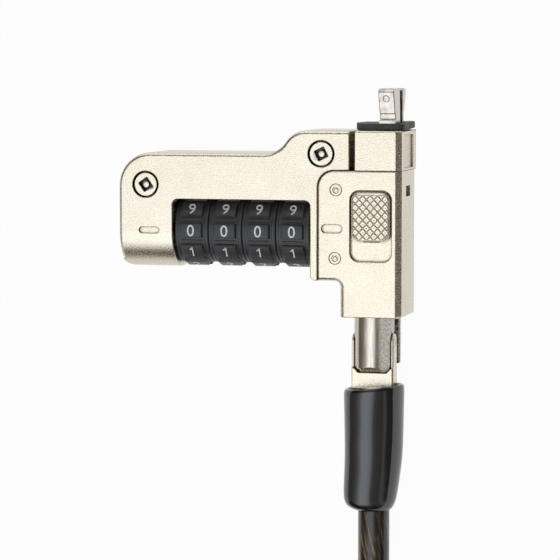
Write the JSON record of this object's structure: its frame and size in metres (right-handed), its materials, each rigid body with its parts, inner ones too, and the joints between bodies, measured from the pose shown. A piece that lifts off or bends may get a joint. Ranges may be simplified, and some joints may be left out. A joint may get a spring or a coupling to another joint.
{
  "type": "laptop cable lock",
  "caption": "Combination cable lock for a laptop: a flat housing with dials and a slider, a spreading T-shaped tip for a 7 x 3 mm slot, and a swivelling cable with an eye.",
  "frame": {"origin": "on the back face, where the swivel axis of the cable crosses the plane of the dial axis", "axes": "+Y along the swivel axis towards the locking tip, +Z out of the front face with the dials, +X towards the right side of the housing; the dial axis is along X at 6.5 mm above the back face"},
  "size_m": [0.0752, 0.1525, 0.0301],
  "materials": {
    "nickel": "satin nickel plate",
    "steel": "bright",
    "dial_plastic": "matte",
    "rubber": "matte",
    "cable_sheath": "clear vinyl over dark steel strands"
  },
  "bodies": {
    "housing": {"back_shell": "nickel", "front_cover": "nickel", "slider_cover": "nickel", "nose_block": "nickel", "contact_pad": "rubber", "hook_blade": "steel", "hook_pin": "steel", "detent_spring": "steel", "cover_screws": "nickel", "rivet_pins": "nickel", "return_spring": "steel"},
    "wheel_1": {"dial_wheel_1": "dial_plastic", "code_sleeve_1": "steel"},
    "wheel_2": {"dial_wheel_2": "dial_plastic", "code_sleeve_2": "steel"},
    "wheel_3": {"dial_wheel_3": "dial_plastic", "code_sleeve_3": "steel"},
    "wheel_4": {"dial_wheel_4": "dial_plastic", "code_sleeve_4": "steel"},
    "slider": {"slider_button": "nickel", "slider_carriage": "steel", "cam_pin": "steel"},
    "blade": {"lock_blade": "steel"},
    "spindle_rod": {"spindle": "steel"},
    "swivel": {"swivel_barrel": "steel", "retaining_ring": "steel"},
    "cable": {"yoke": "nickel", "pivot_pin": "steel", "crimp_sleeve": "steel", "boot": "rubber", "cable_core": "cable_sheath", "cable_run": "cable_sheath", "cable_coil": "cable_sheath", "cable_tail": "cable_sheath", "coil_tie": "rubber", "eye_ferrule": "steel", "eye_loop": "cable_sheath"}
  },
  "joints": [
    {"name": "dial_1_turn", "type": "hinge", "parent": "housing", "child": "wheel_1", "pos_m": [-0.02882, 0, 0.0065], "axis": [1, 0, 0], "continuous": true},
    {"name": "dial_2_turn", "type": "hinge", "parent": "housing", "child": "wheel_2", "pos_m": [-0.02328, 0, 0.0065], "axis": [1, 0, 0], "continuous": true},
    {"name": "dial_3_turn", "type": "hinge", "parent": "housing", "child": "wheel_3", "pos_m": [-0.01773, 0, 0.0065], "axis": [1, 0, 0], "continuous": true},
    {"name": "dial_4_turn", "type": "hinge", "parent": "housing", "child": "wheel_4", "pos_m": [-0.01218, 0, 0.0065], "axis": [1, 0, 0], "continuous": true},
    {"name": "slider_travel", "type": "slide", "parent": "housing", "child": "slider", "axis": [0, 1, 0], "range_m": [-0.0032, 0], "stiffness_N_per_m": 250, "springref_m": 0.004, "deforming": ["return_spring"]},
    {"name": "blade_shift", "type": "slide", "parent": "housing", "child": "blade", "axis": [0, 0, 1], "range_m": [0, 0.00135]},
    {"name": "spindle_shift", "type": "slide", "parent": "housing", "child": "spindle_rod", "axis": [1, 0, 0], "range_m": [-0.0012, 0]},
    {"name": "cable_swivel", "type": "hinge", "parent": "housing", "child": "swivel", "pos_m": [0, -0.0134, 0.0065], "axis": [0, 1, 0], "continuous": true},
    {"name": "cable_pivot", "type": "hinge", "parent": "swivel", "child": "cable", "pos_m": [0, -0.0176, 0.0065], "axis": [-1, 0, 0], "range_deg": [0, 90]}
  ],
  "couplings": [
    {"joint": "blade_shift", "follows": "slider_travel", "ratio": -0.42188},
    {"joint": "spindle_shift", "follows": "slider_travel", "ratio": 0.375}
  ]
}
